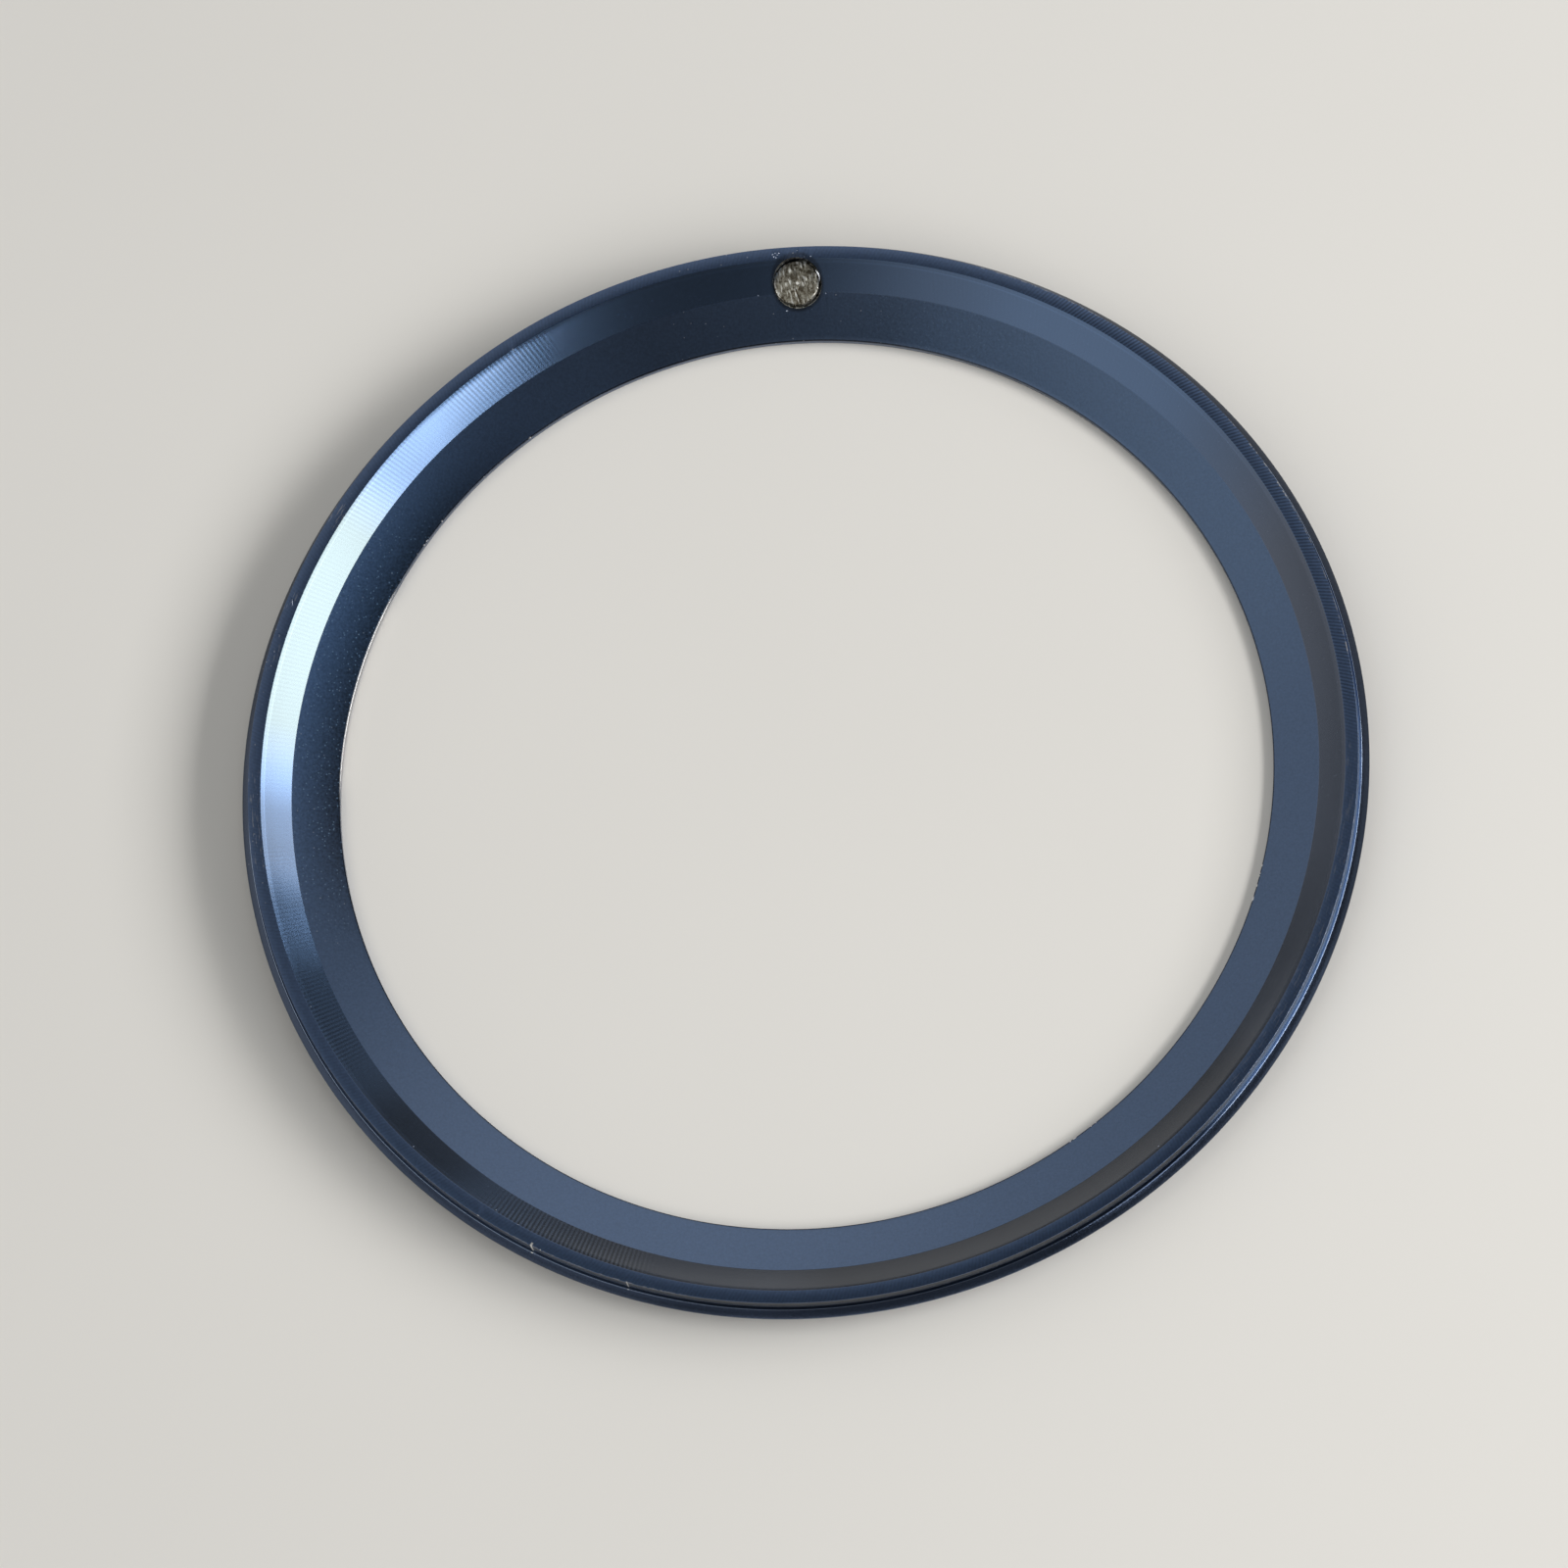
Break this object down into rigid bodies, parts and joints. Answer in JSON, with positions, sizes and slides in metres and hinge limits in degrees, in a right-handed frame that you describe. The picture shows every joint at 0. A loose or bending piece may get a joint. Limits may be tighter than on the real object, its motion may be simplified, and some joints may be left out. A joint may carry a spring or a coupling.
{
  "type": "watch bezel insert",
  "caption": "Anodised aluminium dive bezel insert with a sloped face, a stepped back rim and a luminous pearl in a stemmed metal cup.",
  "frame": {"origin": "centre of the ring, on the plane that the inner edge of its face rests on when it lies face down", "axes": "+Z along the ring's axis, out of the back; +Y towards the pearl at twelve o'clock; +X to the right when the back is looked at with twelve o'clock up"},
  "size_m": [0.038, 0.038, 0.0016],
  "materials": {
    "anodised_aluminium": "fine turned, navy anodised, satin",
    "cup_metal": "rough set steel",
    "lume": "matt pale green luminous compound",
    "lens": "clear polished",
    "enamel": "silver white enamel, satin"
  },
  "bodies": {
    "root": {"insert_ring": "anodised_aluminium", "pearl_cup": "cup_metal", "pearl_lume": "lume", "pearl_lens": "lens", "triangle_fill": "enamel", "five_minute_bar_fills": "enamel", "minute_tick_fills": "enamel"}
  },
  "joints": []
}
